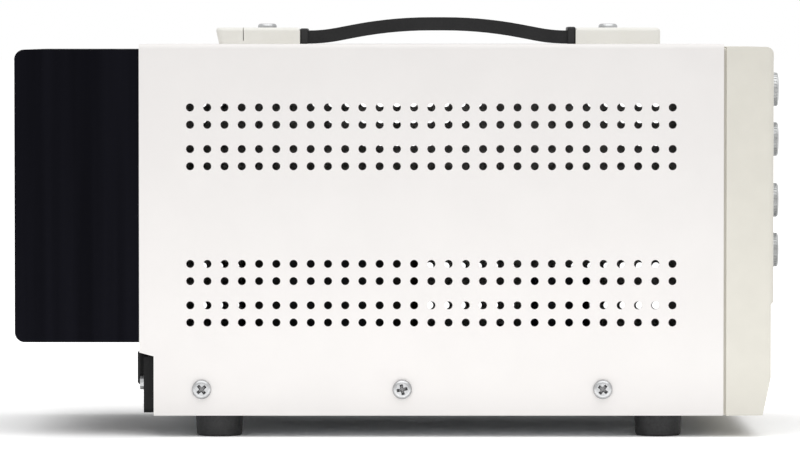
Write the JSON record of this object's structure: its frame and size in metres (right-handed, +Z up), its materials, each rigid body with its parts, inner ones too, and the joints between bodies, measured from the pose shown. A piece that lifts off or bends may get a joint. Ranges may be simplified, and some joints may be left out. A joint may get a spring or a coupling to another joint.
{
  "type": "bench power supply",
  "caption": "Linear bench power supply in a perforated steel case, with knobs and output posts on a recessed front, a finned rear heatsink, mains inlet, strap handle and rubber feet",
  "frame": {"origin": "on the surface it stands on, under the middle of the overall box", "axes": "+X to the right seen from the front, -Y towards the operator, +Z up"},
  "size_m": [0.1316, 0.288, 0.1551],
  "materials": {
    "cover_paint": "fine smooth powder coat, warm off-white",
    "bezel_plastic": "moulded, warm light grey",
    "panel_paint": "satin dark grey",
    "zinc_plate": "zinc plated sheet",
    "black_aluminium": "black anodised extrusion",
    "fastener_steel": "nickel plated",
    "pad_silicone": "grey silicone sheet",
    "black_epoxy": "moulded epoxy",
    "inlet_plastic": "moulded black",
    "blade_brass": "nickel flashed",
    "fuse_glass": "glass cartridge",
    "core_steel": "varnished laminations",
    "bobbin_plastic": "glass-filled nylon",
    "winding_tape": "polyester tape over copper",
    "board_laminate": "glass-epoxy board, green mask",
    "can_sleeve": "shrink sleeve",
    "pot_metal": "plated steel",
    "window_tint": "tinted acrylic",
    "module_resin": "dark face, pale segments",
    "lamp_resin": "diffused resin",
    "knob_metal": "satin turned",
    "shaft_metal": "ground steel",
    "button_plastic": "moulded",
    "post_nickel": "nickel plated brass",
    "cap_black": "moulded",
    "cap_green": "moulded",
    "cap_red": "moulded",
    "foot_rubber": "matt",
    "strap_rubber": "matt moulded over a steel spring",
    "bracket_plastic": "moulded, off-white",
    "lead_pvc": "PVC insulation"
  },
  "bodies": {
    "case": {"top_cover": "cover_paint", "chassis": "zinc_plate", "rear_panel": "zinc_plate", "heatsink": "black_aluminium", "heatsink_screws": "fastener_steel", "transistor_pads": "pad_silicone", "power_transistors": "black_epoxy", "transistor_screws": "fastener_steel", "mains_inlet": "inlet_plastic", "inlet_pins": "blade_brass", "inlet_screws": "fastener_steel", "transformer_core": "core_steel", "transformer_bobbin": "bobbin_plastic", "transformer_winding": "winding_tape", "transformer_strap": "zinc_plate", "transformer_screws": "fastener_steel", "board_standoffs": "fastener_steel", "main_board": "board_laminate", "board_screws": "fastener_steel", "filter_capacitors": "can_sleeve", "relays": "black_epoxy", "bridge_rectifier": "black_epoxy", "front_bezel": "bezel_plastic", "bezel_screws": "fastener_steel", "front_panel": "panel_paint", "display_window": "window_tint", "display_modules": "module_resin", "display_board": "board_laminate", "potentiometers": "pot_metal", "potentiometer_nuts": "fastener_steel", "power_switch": "inlet_plastic", "indicator_lamps": "lamp_resin", "terminal_insulators": "bobbin_plastic", "terminal_posts": "post_nickel", "terminal_nuts": "fastener_steel", "feet": "foot_rubber", "foot_screws": "fastener_steel", "cover_screws": "fastener_steel", "handle_strap": "strap_rubber", "handle_front_bracket": "bracket_plastic", "handle_rear_bracket": "bracket_plastic", "handle_screws": "fastener_steel", "internal_leads": "lead_pvc"},
    "voltage_coarse": {"voltage_coarse_knob": "knob_metal", "voltage_coarse_shaft": "shaft_metal"},
    "voltage_fine": {"voltage_fine_knob": "knob_metal", "voltage_fine_shaft": "shaft_metal"},
    "current_coarse": {"current_coarse_knob": "knob_metal", "current_coarse_shaft": "shaft_metal"},
    "current_fine": {"current_fine_knob": "knob_metal", "current_fine_shaft": "shaft_metal"},
    "power_button": {"power_button": "button_plastic"},
    "negative_clamp": {"negative_clamp": "post_nickel"},
    "negative_cap": {"negative_cap": "cap_black"},
    "earth_clamp": {"earth_clamp": "post_nickel"},
    "earth_cap": {"earth_cap": "cap_green"},
    "positive_clamp": {"positive_clamp": "post_nickel"},
    "positive_cap": {"positive_cap": "cap_red"},
    "fuse_drawer": {"fuse_drawer": "inlet_plastic", "fuse": "fuse_glass"}
  },
  "joints": [
    {"name": "voltage_coarse_turn", "type": "hinge", "parent": "case", "child": "voltage_coarse", "pos_m": [0.03, -0.135, 0.12745], "axis": [0, 1, 0], "range_deg": [-150, 150]},
    {"name": "voltage_fine_turn", "type": "hinge", "parent": "case", "child": "voltage_fine", "pos_m": [0.03, -0.135, 0.10825], "axis": [0, 1, 0], "range_deg": [-150, 150]},
    {"name": "current_coarse_turn", "type": "hinge", "parent": "case", "child": "current_coarse", "pos_m": [0.03, -0.135, 0.08475], "axis": [0, 1, 0], "range_deg": [-150, 150]},
    {"name": "current_fine_turn", "type": "hinge", "parent": "case", "child": "current_fine", "pos_m": [0.03, -0.135, 0.06555], "axis": [0, 1, 0], "range_deg": [-150, 150]},
    {"name": "power_press", "type": "slide", "parent": "case", "child": "power_button", "axis": [0, 1, 0], "range_m": [0, 0.003], "stiffness_N_per_m": 300, "springref_m": -0.002},
    {"name": "negative_clamp_travel", "type": "slide", "parent": "case", "child": "negative_clamp", "axis": [0, -1, 0], "range_m": [0, 0.002]},
    {"name": "negative_cap_turn", "type": "hinge", "parent": "negative_clamp", "child": "negative_cap", "pos_m": [0.011, -0.13, 0.033], "axis": [0, -1, 0], "range_deg": [0, 1030]},
    {"name": "earth_clamp_travel", "type": "slide", "parent": "case", "child": "earth_clamp", "axis": [0, -1, 0], "range_m": [0, 0.002]},
    {"name": "earth_cap_turn", "type": "hinge", "parent": "earth_clamp", "child": "earth_cap", "pos_m": [0.03, -0.13, 0.033], "axis": [0, -1, 0], "range_deg": [0, 1030]},
    {"name": "positive_clamp_travel", "type": "slide", "parent": "case", "child": "positive_clamp", "axis": [0, -1, 0], "range_m": [0, 0.002]},
    {"name": "positive_cap_turn", "type": "hinge", "parent": "positive_clamp", "child": "positive_cap", "pos_m": [0.049, -0.13, 0.033], "axis": [0, -1, 0], "range_deg": [0, 1030]},
    {"name": "fuse_drawer_slide", "type": "slide", "parent": "case", "child": "fuse_drawer", "axis": [0, 1, 0], "range_m": [0, 0.02]}
  ],
  "couplings": [
    {"joint": "negative_cap_turn", "follows": "negative_clamp_travel", "rad_per_m": 8976},
    {"joint": "earth_cap_turn", "follows": "earth_clamp_travel", "rad_per_m": 8976},
    {"joint": "positive_cap_turn", "follows": "positive_clamp_travel", "rad_per_m": 8976}
  ]
}
